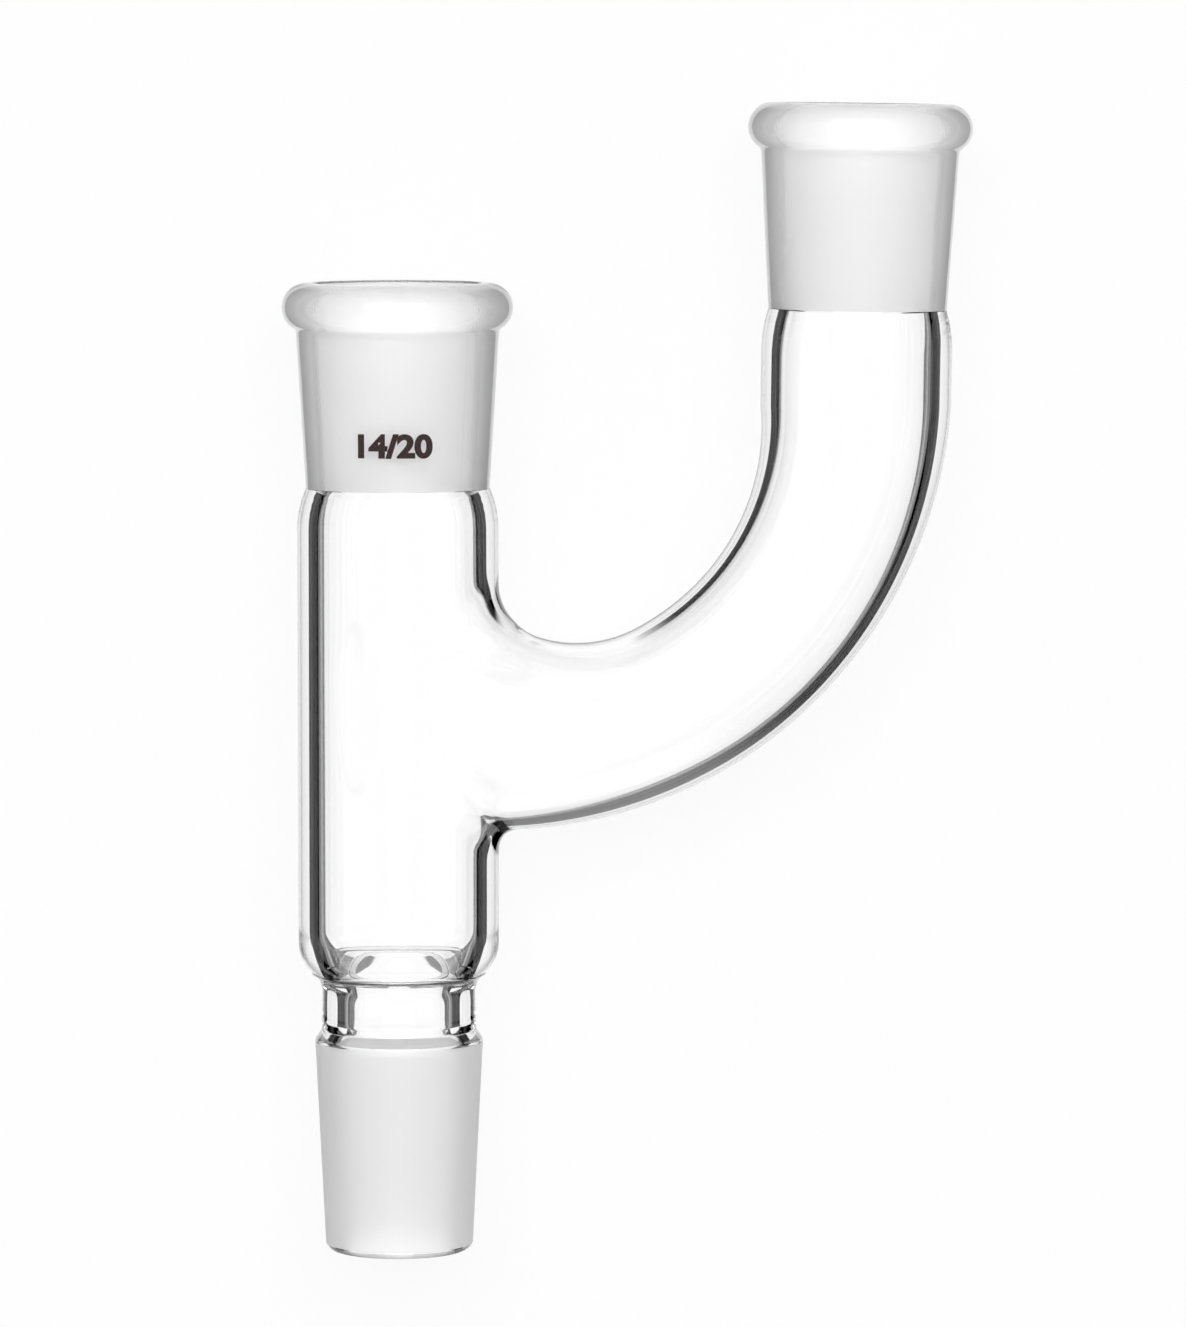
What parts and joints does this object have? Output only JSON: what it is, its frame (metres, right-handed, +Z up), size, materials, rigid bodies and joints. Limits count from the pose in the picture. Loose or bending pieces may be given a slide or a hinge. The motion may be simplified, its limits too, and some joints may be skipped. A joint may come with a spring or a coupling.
{
  "type": "claisen adapter",
  "caption": "Fused glass adapter: a straight tube with a ground cone at its foot and a ground socket at its top, and a side arm that bends up to a parallel socket.",
  "frame": {"origin": "on the bench, under the middle of the adapter's box as it lies", "axes": "+Y up the straight tube from the tip of its cone, +X towards the side arm, +Z up from the bench"},
  "size_m": [0.0592, 0.099, 0.0198],
  "materials": {
    "borosilicate_glass": "clear, with satin ground joints"
  },
  "bodies": {
    "root": {"claisen_adapter": "borosilicate_glass"}
  },
  "joints": []
}
